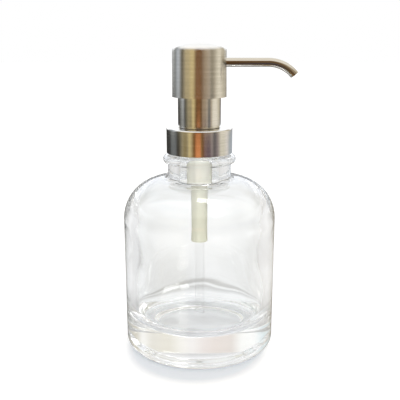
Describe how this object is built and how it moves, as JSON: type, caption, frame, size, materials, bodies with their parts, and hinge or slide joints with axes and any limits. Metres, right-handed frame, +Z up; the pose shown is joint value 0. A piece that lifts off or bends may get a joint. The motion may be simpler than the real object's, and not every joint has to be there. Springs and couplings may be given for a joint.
{
  "type": "soap pump dispenser",
  "caption": "Round clear glass bottle with a screw-on brushed steel lotion pump, domed head and thin curved spout; unscrews, swivels and presses against a spring.",
  "frame": {"origin": "on the axis of the bottle, in the plane of its flat base, where it stands on the table", "axes": "+Z up along the common axis of bottle and pump, +X along the spout at rest"},
  "size_m": [0.087, 0.0776, 0.1564],
  "materials": {
    "clear_glass": "clear, fire polished",
    "brushed_steel": "fine brushed, warm grey",
    "white_plastic": "moulded, satin",
    "natural_plastic": "natural, slightly see-through, satin",
    "clear_plastic": "clear tube",
    "soft_seal": "soft, matt",
    "spring_steel": "bright wire",
    "valve_ball": "polished ball"
  },
  "bodies": {
    "bottle": {"glass_bottle": "clear_glass"},
    "pump": {"pump_housing": "natural_plastic", "neck_gasket": "soft_seal", "dip_tube": "clear_plastic", "ball_cage": "natural_plastic", "return_spring": "spring_steel", "guide_collar": "white_plastic", "stem_wiper": "soft_seal", "sleeve_shell": "brushed_steel"},
    "collar": {"closure_shell": "brushed_steel", "closure_insert": "white_plastic"},
    "inlet_valve": {"inlet_ball": "valve_ball"},
    "plunger": {"piston_rod": "white_plastic"},
    "piston": {"piston_cup": "natural_plastic"},
    "head": {"stem": "white_plastic", "head_core": "white_plastic", "head_shell": "brushed_steel", "spout": "brushed_steel", "spout_liner": "natural_plastic"},
    "outlet_valve": {"outlet_ball": "valve_ball"}
  },
  "joints": [
    {"name": "pump_rise", "type": "slide", "parent": "bottle", "child": "pump", "axis": [0, 0, 1], "range_m": [0, 0.0028]},
    {"name": "collar_turn", "type": "hinge", "parent": "pump", "child": "collar", "pos_m": [0, 0, 0.108], "axis": [0, 0, 1], "range_deg": [0, 236]},
    {"name": "head_press", "type": "slide", "parent": "pump", "child": "plunger", "axis": [0, 0, -1], "range_m": [0, 0.012], "stiffness_N_per_m": 700, "springref_m": -0.008, "deforming": ["return_spring"]},
    {"name": "head_swivel", "type": "hinge", "parent": "plunger", "child": "head", "pos_m": [0, 0, 0.13], "axis": [0, 0, 1], "continuous": true},
    {"name": "piston_slip", "type": "slide", "parent": "plunger", "child": "piston", "axis": [0, 0, 1], "range_m": [0, 0.0012]},
    {"name": "inlet_ball_lift", "type": "slide", "parent": "pump", "child": "inlet_valve", "axis": [0, 0, 1], "range_m": [0, 0.0015]},
    {"name": "outlet_ball_lift", "type": "slide", "parent": "head", "child": "outlet_valve", "axis": [0, 0, 1], "range_m": [0, 0.0012]}
  ],
  "couplings": [
    {"joint": "pump_rise", "follows": "collar_turn", "m_per_rad": 0.00067371}
  ]
}
